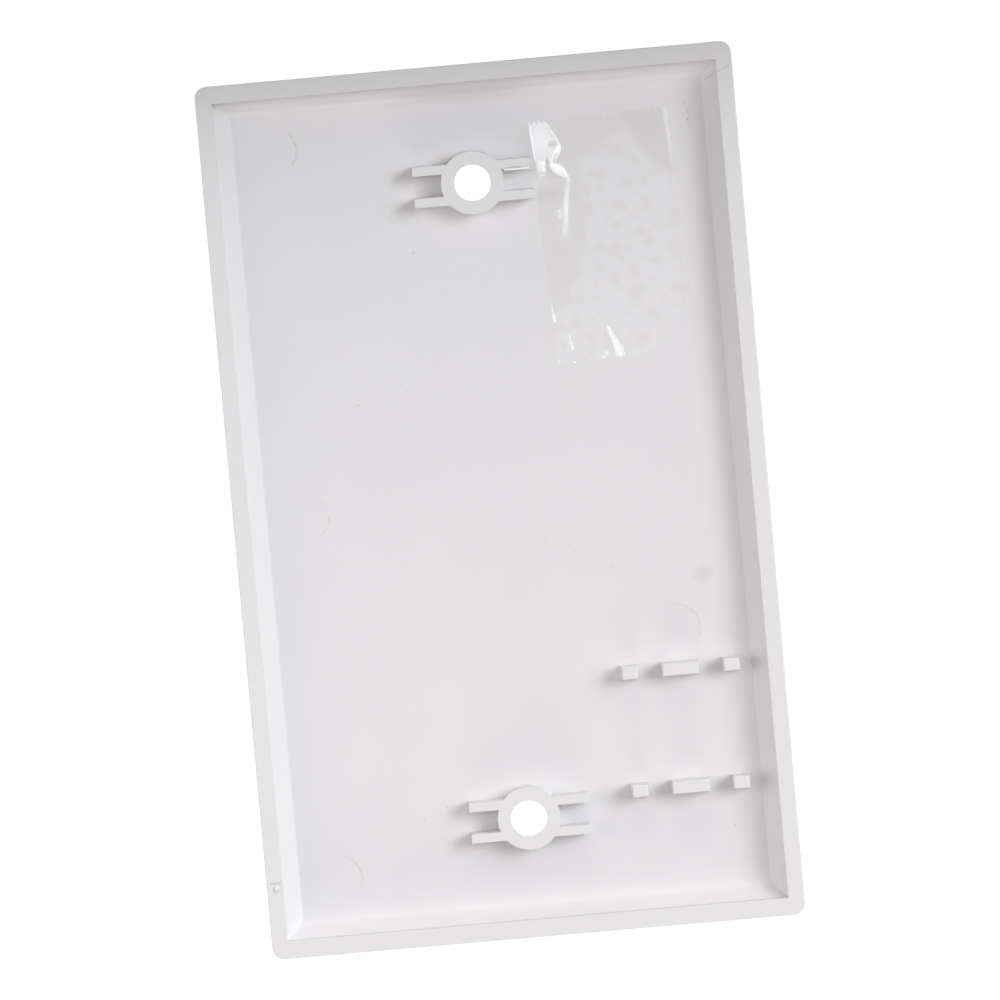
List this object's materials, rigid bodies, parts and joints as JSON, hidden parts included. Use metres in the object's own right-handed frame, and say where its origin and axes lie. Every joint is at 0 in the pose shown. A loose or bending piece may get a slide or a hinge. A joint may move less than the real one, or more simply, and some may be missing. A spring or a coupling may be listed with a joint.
{
  "type": "blank wall plate",
  "caption": "Rectangular single-gang blank wall plate with a hollow ribbed back, bevelled front edges and countersunk screw holes, with a piece of clear tape stuck inside.",
  "frame": {"origin": "middle of the plate's front face, which lies on the floor", "axes": "+X across the plate, +Y along it from one screw hole to the other, +Z out of its hollow back"},
  "size_m": [0.0698, 0.1142, 0.0056],
  "materials": {
    "plate_plastic": "white, moulded, fine satin",
    "tape_film": "clear glossy film"
  },
  "bodies": {
    "root": {"wall_plate": "plate_plastic", "adhesive_tape": "tape_film"}
  },
  "joints": []
}
